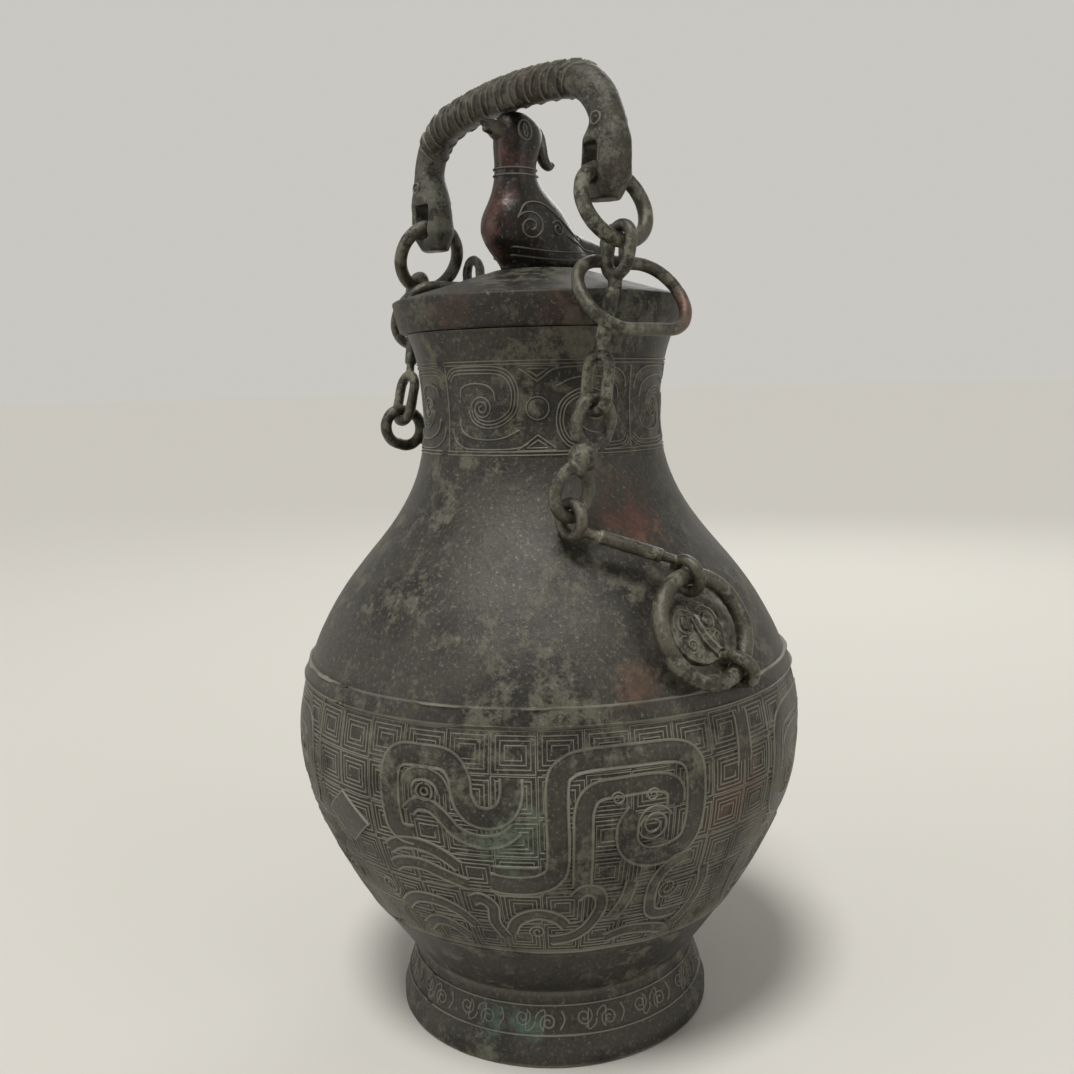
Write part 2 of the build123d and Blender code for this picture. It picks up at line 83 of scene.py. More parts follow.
def markWearAndHighlights(piece, passes=3):  # worn = edges that stand out, pale as rubbed metal and painted highlight; dust = hollows, where pale dust lies
    mesh = piece.data
    count = len(mesh.vertices)
    spots = np.empty(count * 3)
    mesh.vertices.foreach_get("co", spots)
    spots = spots.reshape(-1, 3)
    normals = np.empty(count * 3)
    mesh.vertices.foreach_get("normal", normals)
    normals = normals.reshape(-1, 3)
    ends = np.empty(len(mesh.edges) * 2, dtype=np.int32)
    mesh.edges.foreach_get("vertices", ends)
    first = np.concatenate([ends[0::2], ends[1::2]])
    second = np.concatenate([ends[1::2], ends[0::2]])
    links = np.maximum(np.bincount(first, minlength=count), 1)

    def aroundEach(values):
        return np.bincount(first, weights=values[second], minlength=count) / links

    lean = sum((aroundEach(spots[:, i]) - spots[:, i]) * normals[:, i] for i in range(3))
    gap = np.linalg.norm(spots[first] - spots[second], axis=1).mean()
    lean = lean / gap
    for _ in range(passes):
        lean = 0.4 * lean + 0.6 * aroundEach(lean)
    for name, values in (("wornAndHighlit", np.clip(-lean * 5 - 0.25, 0, 1)), ("dustAndHighlight", np.clip(lean * 9, 0, 1))):
        attribute = mesh.attributes.get(name) or mesh.attributes.new(name, "FLOAT", "POINT")
        attribute.data.foreach_set("value", values.astype(np.float32))


# Materials

def linear(code):  # sRGB hex to the linear colour that nodes use
    parts = [int(code[i:i + 2], 16) / 255 for i in (1, 3, 5)]
    return tuple(p / 12.92 if p <= 0.04045 else ((p + 0.055) / 1.055) ** 2.4 for p in parts) + (1.0,)


def grain(size):  # texture scale for a feature of that many mm
    return 1000 / size


def addNode(tree, kind, settings=None, inputs=None):
    node = tree.nodes.new(kind)
    for key, value in (settings or {}).items():
        setattr(node, key, value)
    for key, value in (inputs or {}).items():
        if isinstance(value, bpy.types.NodeSocket):
            tree.links.new(value, node.inputs[key])
        else:
            node.inputs[key].default_value = value
    return node


softStep = {"interpolation_type": "SMOOTHSTEP"}
colourMix = {"data_type": "RGBA"}


def patinatedBronze(name, look):
    material = bpy.data.materials.new(name)
    material.use_nodes = True
    tree = material.node_tree
    tree.nodes.clear()
    place = addNode(tree, "ShaderNodeTexCoord").outputs["Object"]

    # cloudy tone of the metal, then crumbly islands of olive patina that gather in some regions
    clouds = addNode(tree, "ShaderNodeTexNoise", None,
                     {"Vector": place, "Scale": grain(look["cloudSize"]), "Detail": 4.0, "Roughness": 0.62})
    cloudy = addNode(tree, "ShaderNodeMapRange", softStep, {0: clouds.outputs["Fac"], 1: 0.36, 2: 0.64})
    metalTone = addNode(tree, "ShaderNodeMix", colourMix,
                        {0: cloudy.outputs[0], 6: linear(look["dark"]), 7: linear(look["metal"])})
    islands = addNode(tree, "ShaderNodeTexNoise", None,
                      {"Vector": place, "Scale": grain(look["islandSize"]), "Detail": 9.0, "Roughness": 0.76})
    gathered = addNode(tree, "ShaderNodeMath", {"operation": "MULTIPLY_ADD"},
                       {0: clouds.outputs["Fac"], 1: -0.5, 2: islands.outputs["Fac"]})
    island = addNode(tree, "ShaderNodeMapRange", softStep,
                     {0: gathered.outputs[0], 1: look["islandFrom"] - 0.26, 2: look["islandFrom"] - 0.12,
                      4: 0.85})
    patinaTone = addNode(tree, "ShaderNodeMix", colourMix,
                         {0: island.outputs[0], 6: metalTone.outputs[2], 7: linear(look["patina"])})

    # grit: pale specks and dark pits
    grit = addNode(tree, "ShaderNodeTexNoise", None,
                   {"Vector": place, "Scale": grain(look["gritSize"]), "Detail": 6.0, "Roughness": 0.74})
    speck = addNode(tree, "ShaderNodeMapRange", softStep, {0: grit.outputs["Fac"], 1: 0.54, 2: 0.72, 4: 0.6})
    speckTone = addNode(tree, "ShaderNodeMix", colourMix,
                        {0: speck.outputs[0], 6: patinaTone.outputs[2], 7: linear(look["crust"])})
    pit = addNode(tree, "ShaderNodeMapRange", softStep, {0: grit.outputs["Fac"], 1: 0.46, 2: 0.3, 4: 0.85})
    pitTone = addNode(tree, "ShaderNodeMix", colourMix,
                      {0: pit.outputs[0], 6: speckTone.outputs[2], 7: linear(look["pit"])})

    # stains at known places: cuprite red and verdigris, thin and ragged
    tone = pitTone
    for code, spot, size in look["stains"]:
        away = addNode(tree, "ShaderNodeVectorMath", {"operation": "DISTANCE"},
                       {0: place, 1: [c * mm for c in spot]})
        ragged = addNode(tree, "ShaderNodeMath", {"operation": "MULTIPLY_ADD"},
                         {0: islands.outputs["Fac"], 1: -4 * size * mm, 2: away.outputs["Value"]})
        stain = addNode(tree, "ShaderNodeMapRange", softStep,
                        {0: ragged.outputs[0], 1: -1.0 * size * mm, 2: -2.1 * size * mm, 4: 0.62})
        tone = addNode(tree, "ShaderNodeMix", colourMix,
                       {0: stain.outputs[0], 6: tone.outputs[2], 7: linear(code)})

    # pale dust lies in the hollows; relief lines get pale dust and painted highlight on their raised tops,
    # and edges that stand out get rubbed metal with a painted highlight
    dustAndHighlight = addNode(tree, "ShaderNodeAttribute", {"attribute_name": "dustAndHighlight"})
    patchy = addNode(tree, "ShaderNodeMapRange", softStep,
                     {0: clouds.outputs["Fac"], 1: 0.36, 2: 0.62, 3: 0.5 * look["dustHighlightAmount"],
                      4: 1.1 * look["dustHighlightAmount"]})
    # pale share: dust in the hollows, painted highlight on the raised tops of relief lines
    dustHighlightShare = addNode(tree, "ShaderNodeMath", {"operation": "MULTIPLY"},
                       {0: dustAndHighlight.outputs["Fac"], 1: patchy.outputs[0]})
    dustyHighlit = addNode(tree, "ShaderNodeMix", colourMix,
                    {0: dustHighlightShare.outputs[0], 6: tone.outputs[2], 7: linear(look["dustAndHighlight"])})
    # edges that stand out turn pale: rubbed metal and painted highlight
    wornAndHighlit = addNode(tree, "ShaderNodeAttribute", {"attribute_name": "wornAndHighlit"})
    rubAndHighlight = addNode(tree, "ShaderNodeMath", {"operation": "MULTIPLY"},
                  {0: wornAndHighlit.outputs["Fac"], 1: cloudy.outputs[0]})
    rubbedAndHighlight = addNode(tree, "ShaderNodeMix", colourMix,
                     {0: rubAndHighlight.outputs[0], 6: dustyHighlit.outputs[2], 7: linear(look["rubbedAndHighlight"])})

    # patina is dull and earthy, bare metal keeps some shine
    dull = addNode(tree, "ShaderNodeMath", {"operation": "MAXIMUM"},
                   {0: island.outputs[0], 1: dustHighlightShare.outputs[0]})
    rough = addNode(tree, "ShaderNodeMapRange", None,
                    {0: dull.outputs[0], 3: look["roughMetal"], 4: look["roughPatina"]})
    roughGrit = addNode(tree, "ShaderNodeMath", {"operation": "MULTIPLY_ADD"},
                        {0: grit.outputs["Fac"], 1: 0.18, 2: rough.outputs[0]})
    metallic = addNode(tree, "ShaderNodeMapRange", None,
                       {0: dull.outputs[0], 3: look["metallic"], 4: look["metallic"] * 0.25})
    lumps = addNode(tree, "ShaderNodeMath", {"operation": "MULTIPLY_ADD"},
                    {0: islands.outputs["Fac"], 1: 0.8, 2: grit.outputs["Fac"]})
    bump = addNode(tree, "ShaderNodeBump", None,
                   {"Strength": look["bump"], "Distance": 0.4 * mm, "Height": lumps.outputs[0]})
    skin = addNode(tree, "ShaderNodeBsdfPrincipled", None,
                   {"Base Color": rubbedAndHighlight.outputs[2], "Metallic": metallic.outputs[0],
                    "Roughness": roughGrit.outputs[0], "Normal": bump.outputs[0]})
    addNode(tree, "ShaderNodeOutputMaterial", None, {"Surface": skin.outputs[0]})
    return material


# Cast tin bronze, long buried: dark grey-brown metal under olive and grey-green patina,
# pale dust and painted highlight on the raised lines and edges, a few stains of red cuprite and green
# verdigris
bodyLook = {
    "dark": "#211f1b", "metal": "#3e3b34", "patina": "#5d5b4c", "crust": "#8e8b79", "pit": "#12110e",
    "dustAndHighlight": "#908e7f", "rubbedAndHighlight": "#85826f", "dustHighlightAmount": 0.7,
    "cloudSize": 34, "islandSize": 8, "islandFrom": 0.5, "gritSize": 1.2,
    "roughMetal": 0.33, "roughPatina": 0.6, "metallic": 0.5, "bump": 0.55,
    "stains": [("#633b2f", (52, -5, 182), 17), ("#5c4232", (80, -27, 136), 10),
               ("#5f3d31", (88, 5, 97), 18), ("#587467", (36, -41, 12.5), 7),
               ("#587467", (27, -47, 13), 8), ("#5a6a5c", (60, -62, 92), 16)],
}
lidLook = dict(bodyLook, dark="#1a1815", metal="#302d28", patina="#525043", islandFrom=0.48, roughMetal=0.42,
               stains=[("#49332b", (15, -48, 251), 11), ("#49332b", (46, -26, 249), 13),
                       ("#49332b", (-22, -46, 250), 10)])
birdLook = dict(bodyLook, dark="#171412", metal="#282421", patina="#46433c", islandFrom=0.58, roughMetal=0.22,
                bump=0.2, metallic=0.45, dustAndHighlight="#84827a",
                stains=[("#5a3329", (-3, -12, 303), 13), ("#5a3329", (-3, -17, 281), 15)])
handleLook = dict(bodyLook, dark="#24211c", metal="#433f35", patina="#5f5e51", islandFrom=0.48, cloudSize=18,
                  islandSize=6, roughMetal=0.3, stains=[("#54392d", (20, -12, 326), 12)])
# the chain's very pale rubbed colour is partly painted highlight on its edges
chainLook = dict(bodyLook, dark="#2a2822", metal="#524e42", patina="#70705f", islandFrom=0.49, cloudSize=14,
                 islandSize=5, rubbedAndHighlight="#adaa97", roughMetal=0.25,
                 stains=[("#6e483b", (58, 13, 248), 14), ("#64443a", (-58, -14, 281), 14)])
materials = {
    "body_bronze": patinatedBronze("castBronzeOlivePatina", bodyLook),
    "lid_bronze": patinatedBronze("castBronzeDarkLid", lidLook),
    "bird_bronze": patinatedBronze("castBronzeBlackPolish", birdLook),
    "handle_bronze": patinatedBronze("castBronzeHandledSerpent", handleLook),
    "chain_bronze": patinatedBronze("castBronzeRubbedHighlitChain", chainLook),
}


def dress(piece, body, slot, *replaced):
    piece.data.materials.clear()
    piece.data.materials.append(materials[slot])
    pickUp(piece)
    bpy.ops.object.shade_smooth_by_angle(angle=math.radians(50))
    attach(piece, body)
    if replaced:
        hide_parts(*replaced)


print("materials made")


# Turned pieces: a profile is drawn point by point and spun round the axis

def spinProfile(name, profile, steps):  # profile in mm, radius and height
    freshStart()
    bpy.ops.mesh.primitive_plane_add(size=mm, location=(0, 0, 0))
    piece = bpy.context.object
    piece.name = name
    bpy.ops.object.mode_set(mode="EDIT")
    bpy.ops.mesh.select_all(action="SELECT")
    bpy.ops.mesh.merge(type="CENTER")
    start = Vector((profile[0][0], 0, profile[0][1])) * mm
    bpy.ops.transform.translate(value=start)
    for (radius, height), (nextRadius, nextHeight) in zip(profile, profile[1:]):
        step = Vector((nextRadius - radius, 0, nextHeight - height)) * mm
        bpy.ops.mesh.extrude_region_move(TRANSFORM_OT_translate={"value": step})
    bpy.ops.mesh.select_all(action="SELECT")
    bpy.ops.mesh.spin(steps=steps, angle=2 * math.pi, center=(0, 0, 0), axis=(0, 0, 1))
    bpy.ops.mesh.select_all(action="SELECT")
    bpy.ops.mesh.remove_doubles(threshold=0.01 * mm)
    bpy.ops.mesh.normals_make_consistent(inside=False)
    bpy.ops.object.mode_set(mode="OBJECT")
    return piece


body = {
    "steps": 220, "row": 0.9, "innerRow": 7.0, "top": 244.6, "floor": 26.0, "under": 21.0,
    "footRadius": 57.0, "footInner": 51.5, "underRadius": 45.8, "lumpSize": 16.0, "lumpRise": 0.35,
    "lowest": 0.3, "edgeRound": 0.4, "lipDrop": 0.2, "lipRound": 0.5, "floorRound": 1.0,
    "sharpRows": [45.9, 46.1, 46.8, 47.5, 47.7, 127.2, 127.5, 132.3, 132.6],
}
cadBody = surfaceTree(cadNodes["vessel_body"])
seamAway = Vector((math.cos(0.7), math.sin(0.7), 0))


def cadRadius(height):  # outer radius of the CAD vessel
    start = seamAway * 0.3 + Vector((0, 0, height * mm))
    return cadBody.ray_cast(start, -seamAway)[0].to_2d().length / mm


def cadInner(height):  # inner radius of the CAD vessel
    return cadBody.ray_cast(Vector((0, 0, height * mm)), seamAway)[0].to_2d().length / mm


rows = int(body["top"] / body["row"])
evenRows = [body["lowest"] + i * (body["top"] - body["edgeRound"]) / rows for i in range(rows + 1)]
heights = sorted(evenRows + body["sharpRows"])
innerRows = int((body["top"] - body["floor"]) / body["innerRow"])
innerRow = (body["top"] - body["floor"] - body["floorRound"]) / innerRows
innerHeights = [body["top"] - body["edgeRound"] - i * innerRow for i in range(innerRows + 1)]
lip = body["top"] - body["lipDrop"]
vesselProfile = [(0, body["under"]), (body["underRadius"], body["under"]), (body["footInner"], 0),
                 (body["footRadius"] - body["edgeRound"], 0)]
vesselProfile += [(cadRadius(h), h) for h in heights]
vesselProfile += [(cadRadius(lip) - body["lipRound"], body["top"]),
                  (cadInner(lip) + body["lipRound"], body["top"])]
vesselProfile += [(cadInner(h), h) for h in innerHeights]
vesselProfile += [(0, body["floor"])]
vessel = spinProfile("vesselCasting", vesselProfile, body["steps"])
roughen(vessel, body["lumpSize"], body["lumpRise"])
applyModifiers(vessel)
markWearAndHighlights(vessel)
dress(vessel, "vessel", "body_bronze", "vessel_body")
print("vessel turned", len(vessel.data.polygons))

lid = {
    "steps": 180, "lumpSize": 12.0, "lumpRise": 0.3,
    "profile": [(0, 265.8), (9, 265.8), (16.6, 265.8), (17.4, 265.5), (24, 263.6), (31, 261.5), (38, 259.45),
                (45, 257.4), (50.9, 255.75), (51.6, 255.3), (51.75, 254.8), (51.2, 252), (50.6, 249.5),
                (50.0, 247), (49.5, 245.2), (49.0, 244.9), (45, 244.9), (40.0, 244.9), (40.0, 240),
                (40.0, 236.2), (39.7, 235.9), (37.4, 235.9), (37.05, 236.3), (37.05, 252.5), (17, 262.8),
                (0, 262.8)],
}
lidPiece = spinProfile("lidCasting", lid["profile"], lid["steps"])
roughen(lidPiece, lid["lumpSize"], lid["lumpRise"])
applyModifiers(lidPiece)
markWearAndHighlights(lidPiece)
dress(lidPiece, "lid", "lid_bronze", "lid_cover")
print("lid turned", len(lidPiece.data.polygons))


# Relief ornament: strips are drawn flat in mm, then laid on the surface that carries them.
# A section is (across, rise, dust) from one side of the strip to the other; the dust share is pale dust and,
# on the raised tops, painted highlight.

def threadSection(width, rise):
    # the raised top carries a high pale share: dust and painted highlight
    return [(-width / 2, -0.15, 0.0), (-width / 6, rise, 0.9),
            (width / 6, rise, 0.9), (width / 2, -0.15, 0.0)]


def tripleSection(gap, rise):
    section = []
    for centre in (-gap, 0, gap):
        section += [(centre - 0.36 * gap, -0.15, 0.0), (centre - 0.1 * gap, rise, 0.9),
                    (centre + 0.1 * gap, rise, 0.9), (centre + 0.36 * gap, -0.15, 0.0)]
    return section


def bandSection(width, rise):  # flat band with a thin raised line along each edge
    # the raised edge lines carry a high pale share, dust and painted highlight; the groove beside them none
    half = width / 2
    side = [(half + 0.2, -0.2, 0.0), (half, rise + 0.12, 0.8), (half - 0.55, rise + 0.12, 0.8),
            (half - 0.95, rise - 0.2, 0.0), (half - 1.6, rise, 0.05)]
    return [(-across, height, dustAndHighlight) for across, height, dustAndHighlight in side] + side[::-1]


def smoothPath(points, step=0.9, closed=False):  # a flowing line through the points
    ring = [Vector(p) for p in points]
    count = len(ring)
    path = []
    for i in range(count if closed else count - 1):
        a = ring[i - 1] if closed or i > 0 else 2 * ring[i] - ring[i + 1]
        b = ring[i]
        c = ring[(i + 1) % count]
        d = ring[(i + 2) % count] if closed or i + 2 < count else 2 * c - b
        parts = max(2, int((c - b).length / step))
        for k in range(parts):
            t = k / parts
            path.append(0.5 * ((2 * b) + (c - a) * t + (2 * a - 5 * b + 4 * c - d) * t * t
                               + (3 * b - a - 3 * c + d) * t ** 3))
    if not closed:
        path.append(ring[-1])
    return path


def straightPath(points, step=3.5):  # straight runs, cut short enough to follow the curve of the body
    ring = [Vector(p) for p in points]
    path = [ring[0]]
    for a, b in zip(ring, ring[1:]):
        parts = max(1, int(math.ceil((b - a).length / step)))
        path += [a.lerp(b, (k + 1) / parts) for k in range(parts)]
    return path


def spiralPath(centre, startAngle, turns, inner, outer, step=0.35):
    count = int(abs(turns) * math.pi * (inner + outer) / step)
    path = []
    for k in range(count + 1):
        share = k / count
        angle = math.radians(startAngle) + 2 * math.pi * turns * share
        reach = inner + (outer - inner) * share
        path.append(Vector((centre[0] + reach * math.cos(angle), centre[1] + reach * math.sin(angle))))
    return path


def ovalPath(centre, wide, high, steps, overlap=0):  # wide and high are half sizes
    turns = [2 * math.pi * k / steps for k in range(steps + overlap)]
    return [Vector((centre[0] + wide * math.cos(t), centre[1] + high * math.sin(t))) for t in turns]


def levelRing(length, height, steps):  # a line all the way round at one height
    return [Vector((k * length / steps, height)) for k in range(steps)]


def squareSpiral(centre, width, height, pitch, turned):  # one block of thunder pattern
    a, b = width / 2, height / 2
    path = [(-a, -b)]
    while a > 0.7 * pitch and b > 0.7 * pitch:
        path += [(a, -b), (a, b), (-a, b), (-a, pitch - b)]
        a -= pitch
        b -= pitch
    flip = -1 if turned else 1
    return straightPath([(centre[0] + flip * x, centre[1] + flip * y) for x, y in path])


def newRelief():
    return {"spots": [], "faces": [], "dustAndHighlight": []}


def layStrip(relief, path, section, closed=False):
    first = len(relief["spots"])
    count = len(path)
    wide = len(section)
    for i, spot in enumerate(path):
        before = path[i - 1] if closed or i > 0 else None
        after = path[(i + 1) % count] if closed or i < count - 1 else None
        goingIn = (spot - before).normalized() if before else (after - spot).normalized()
        goingOut = (after - spot).normalized() if after else goingIn
        along = (goingIn + goingOut).normalized() if (goingIn + goingOut).length > 0.01 else goingOut
        mitre = 1 / max(0.6, along.dot(goingOut))
        sunk = not closed and i in (0, count - 1)
        for across, rise, dustAndHighlight in section:
            relief["spots"].append((spot.x - along.y * mitre * across, spot.y + along.x * mitre * across,
                                    section[0][1] if sunk else rise))
            relief["dustAndHighlight"].append(dustAndHighlight)
    for i in range(count if closed else count - 1):
        a = first + i * wide
        b = first + (i + 1) % count * wide
        relief["faces"] += [(a + k, b + k, b + k + 1, a + k + 1) for k in range(wide - 1)]


def layPlate(relief, corners, rise, cells=8):  # flat four-sided field, corners in left-hand order
    first = len(relief["spots"])
    for i in range(cells + 1):
        for k in range(cells + 1):
            near = corners[0].lerp(corners[1], i / cells)
            far = corners[3].lerp(corners[2], i / cells)
            spot = near.lerp(far, k / cells)
            relief["spots"].append((spot.x, spot.y, rise))
            relief["dustAndHighlight"].append(0.08)
    wide = cells + 1
    for i in range(cells):
        for k in range(cells):
            a = first + i * wide + k
            relief["faces"].append((a, a + wide, a + wide + 1, a + 1))


def raiseRelief(name, relief, place):  # place(x, y, rise) gives the point on the carrying surface
    mesh = bpy.data.meshes.new(name)
    mesh.from_pydata([place(*spot) for spot in relief["spots"]], [], relief["faces"])
    attribute = mesh.attributes.new("dustAndHighlight", "FLOAT", "POINT")
    attribute.data.foreach_set("value", relief["dustAndHighlight"])
    piece = bpy.data.objects.new(name, mesh)
    scene.collection.objects.link(piece)
    print("relief", name, len(mesh.polygons))
    return piece


vesselTree = surfaceTree(vessel)


def onVessel(startAngle, reference):  # flat x runs round the axis at a reference radius, y is the height
    def place(x, y, rise):
        angle = math.radians(startAngle) + x / reference
        outward = Vector((math.cos(angle), math.sin(angle), 0))
        spot, normal = vesselTree.ray_cast(outward * 0.3 + Vector((0, 0, y * mm)), -outward)[:2]
        wear = min(1.0, max(0.35, 0.85 + 0.8 * noise.noise(spot * 45)))  # rubbed lower in places
        return spot + normal * rise * wear * mm
    return place


def turnedOver(relief):  # the same lines for the opposite side, faces turned the other way
    return dict(relief, faces=[tuple(reversed(face)) for face in relief["faces"]])


def shifted(path, start, width, mirrored):
    return [Vector((start + (width - p.x if mirrored else p.x), p.y)) for p in path]


# Neck: running scrolls drawn with triple lines, one unit to a quarter, every other one mirrored
neck = {"startAngle": -84.4, "reference": 42.5, "low": 204.6, "high": 233.4, "unit": 42.5 * math.pi / 2,
        "thread": 0.75, "rise": 0.42, "gap": 1.1, "bossRing": 3.7, "bossShare": 0.4}
thread = threadSection(neck["thread"], neck["rise"])
triple = tripleSection(neck["gap"], neck["rise"])
middle = Vector((neck["unit"] / 2, (neck["low"] + neck["high"]) / 2))
spiral = spiralPath((14.3, 219.2), 180 - 2.25 * 360, 2.25, 0.6, 4.0)
halfScroll = [
    (spiral, thread),
    (smoothPath([(10.3, 219.2), (11.6, 215.7), (15.6, 213.9), (20.6, 214.6), (25, 218), (26.2, 224),
                 (24.4, 229), (20.6, 231.2), (12, 231.6), (4, 231.2), (0.9, 228.6)]), triple),
    (smoothPath([(5.6, 222.6), (6.6, 225.8), (10.6, 227.2), (15.6, 226.9), (18.7, 224.9),
                 (19.4, 221)]), thread),
    (smoothPath([(5.1, 216.4), (6, 212.4), (9.6, 209.9), (15.9, 209), (22.1, 209.7), (27.6, 212.2)]), thread),
    (smoothPath([(1.9, 213), (2.9, 209.2), (6.4, 206.6), (12, 205.9), (22.1, 205.9), (28, 206.6),
                 (31, 208.4)]), thread),
    (straightPath([(26.5, 232.6), (40.3, 232.6), (33.4, 227.6), (27.2, 232.2)]), thread),
    (straightPath([(29.8, 231.7), (37, 231.7), (33.4, 229.2), (30.4, 231.3)]), thread),
]
bossDome = [(-1.9, -0.15, 0.3), (-1.4, 0.3, 0.1), (0, 0.55, 0.0), (1.4, 0.65, 0.0)]
neckRelief = newRelief()
for unit in range(4):
    start = unit * neck["unit"]
    mirrored = unit % 2 == 1
    for path, section in halfScroll:
        other = [2 * middle - p for p in path]  # the other half of the scroll is turned round the boss
        layStrip(neckRelief, shifted(path, start, neck["unit"], mirrored), section)
        layStrip(neckRelief, shifted(other, start, neck["unit"], mirrored), section)
    ringPath = ovalPath(middle, neck["bossRing"], neck["bossRing"], 32)
    bossPath = [middle + (p - middle) * neck["bossShare"] for p in ringPath]
    bossPath = shifted(bossPath, start, neck["unit"], mirrored)
    layStrip(neckRelief, shifted(ringPath, start, neck["unit"], mirrored), thread, True)
    layStrip(neckRelief, bossPath[::-1] if mirrored else bossPath, bossDome, True)
    layStrip(neckRelief, straightPath([(start, neck["low"]), (start, neck["high"])]), thread)
for height in (neck["low"] - 0.6, neck["low"] + 0.5, neck["high"] - 0.2, neck["high"] + 0.9):
    layStrip(neckRelief, levelRing(4 * neck["unit"], height, 160), thread, True)
neckFrieze = raiseRelief("neckFrieze", neckRelief, onVessel(neck["startAngle"], neck["reference"]))
dress(neckFrieze, "vessel", "body_bronze")

# Belly: broad dragon bands over a ground of thunder pattern, a quarter at a time
belly = {"startAngle": -85.0, "reference": 88.0, "low": 48.4, "high": 126.6, "unit": 88 * math.pi / 2,
         "columns": 10, "rows": 6, "pitch": 1.36, "gap": 0.62, "groundThread": 0.66, "groundRise": 0.32,
         "bandRise": 0.55, "plateRise": 0.6}
ground = threadSection(belly["groundThread"], belly["groundRise"])
broad = bandSection(7.2, belly["bandRise"])
inset = bandSection(6.4, belly["bandRise"] - 0.05)
slim = bandSection(4.6, belly["bandRise"])
edge = threadSection(1.0, 0.75)
bands = [
    # front dragon: squared head, tail curling up
    (smoothPath([(30, 91.5), (24.6, 92.4), (22.8, 97), (22.8, 112), (26.4, 117), (34, 117.6), (42, 117),
                 (45.9, 112.6), (47, 106), (49.8, 101.4), (54.6, 100.2), (59.2, 102.4), (61.4, 107),
                 (61.6, 113)]), broad),
    (smoothPath([(28.6, 99.6), (32, 102.6), (37, 102.4), (41, 99), (45, 94.6), (52, 92.4), (58.4, 93.6),
                 (63, 97.4)]), slim),
    (smoothPath([(28.4, 107.5), (30.5, 111.2), (35, 112.4), (39.6, 110.6), (41.6, 106.5)]), slim),
    (smoothPath([(17.5, 84.5), (23, 87.8), (31, 88.6), (38, 86.6), (44, 82.6)]), slim),
    (smoothPath([(17, 77.5), (22, 80.4), (30, 81.2), (38, 79), (46, 76.4)]), slim),
    (smoothPath([(14, 61), (22, 66.6), (31, 67.4), (39, 64.6), (45, 59)]), slim),
    (smoothPath([(20, 53), (27, 58), (34, 57.6), (40, 53)]), slim),
    (smoothPath([(44.5, 69.6), (48.6, 71.4), (52.4, 68.4), (52.2, 61.6), (55.6, 54.6)]), slim),
    (straightPath([(53, 78.8), (70.6, 78.8)]), bandSection(11.5, belly["plateRise"])),
    # side dragon: foot, neck, squared crest that turns in to the spiral eye
    (smoothPath([(52.6, 78.4), (60, 77.4), (68, 78), (73, 80.6), (74.8, 87), (74.8, 110), (77.6, 115.6),
                 (84, 117.6), (98, 118), (111, 117.4), (116.4, 114), (117.8, 107), (117.6, 94), (115, 87.6),
                 (108, 85), (100.4, 85.8), (96, 90), (95.6, 96.4), (98.6, 101)]), broad),
    (smoothPath([(82.2, 76), (82.2, 92), (82.6, 103), (86, 108), (94, 109), (105, 109), (110.2, 106.4),
                 (110.8, 101)]), inset),
    (smoothPath([(119.4, 82.4), (112, 81), (107, 75), (107, 65.6), (110.6, 60.8), (121, 60.2)]), slim),
    (smoothPath([(79.6, 71.6), (83, 75), (87.6, 73.6), (88.8, 67.6), (85, 59.6), (79, 55.4),
                 (71, 54)]), slim),
    (smoothPath([(57, 56.6), (60.2, 62.6), (67, 65.8), (74, 63.8), (78, 59.6)]), slim),
    (smoothPath([(93, 62), (97, 69), (98.6, 77)]), slim),
    (smoothPath([(92, 53), (100, 55.6), (110, 54.6), (118, 52)]), slim),
    (smoothPath([(126, 76), (127.6, 68), (126, 60), (121, 53)]), slim),
]
curls = [
    (spiralPath((103.8, 95.9), 90, -2.2, 1.3, 6.2), edge),
    (spiralPath((92.4, 105.6), 0, 1.5, 0.7, 2.2), edge),
    (spiralPath((103.2, 105.4), 180, -1.5, 0.7, 2.2), edge),
    (spiralPath((11, 68.2), 0, 2.0, 0.8, 4.2), edge),
    (spiralPath((67, 58), 0, 1.6, 0.8, 3.0), edge),
    (spiralPath((112.5, 71), 90, 1.8, 0.8, 4.2), edge),
    (spiralPath((35, 107), 90, 1.0, 2.6, 2.7), edge),
    (spiralPath((35, 107), 90, 1.0, 1.1, 1.2), edge),
]
bellyRelief = newRelief()
columnWidth = belly["unit"] / belly["columns"]
rowHeight = (belly["high"] - belly["low"]) / belly["rows"]
for unit in range(4):
    start = unit * belly["unit"]
    mirrored = unit % 2 == 1
    for column in range(belly["columns"]):
        for row in range(belly["rows"]):
            centre = ((column + 0.5) * columnWidth, belly["low"] + (row + 0.5) * rowHeight)
            block = squareSpiral(centre, columnWidth - belly["gap"], rowHeight - belly["gap"], belly["pitch"],
                                 (column + row) % 2 == 1)
            layStrip(bellyRelief, shifted(block, start, belly["unit"], mirrored), ground)
    for path, section in bands + curls:
        layStrip(bellyRelief, shifted(path, start, belly["unit"], mirrored), section)
for pair in (0, 2):  # a lozenge where two dragons face, a tongue where their backs meet
    meeting = pair * belly["unit"]
    corners = [Vector((meeting + x, z)) for x, z in ((-10.8, 91.2), (0, 82.4), (10.8, 91.2), (0, 100))]
    layPlate(bellyRelief, corners, belly["plateRise"])
    layStrip(bellyRelief, straightPath(corners + corners[:1])[:-1], edge, True)
    tongue = meeting + belly["unit"]
    tonguePath = straightPath([(tongue, 126), (tongue, 107)])
    layStrip(bellyRelief, tonguePath, bandSection(6.8, belly["plateRise"]))
for height, section in ((127.4, edge), (132.5, edge), (48.0, threadSection(1.6, 0.7))):
    layStrip(bellyRelief, levelRing(4 * belly["unit"], height, 200), section, True)
bellyFrieze = raiseRelief("bellyFrieze", bellyRelief, onVessel(belly["startAngle"], belly["reference"]))
dress(bellyFrieze, "vessel", "body_bronze")

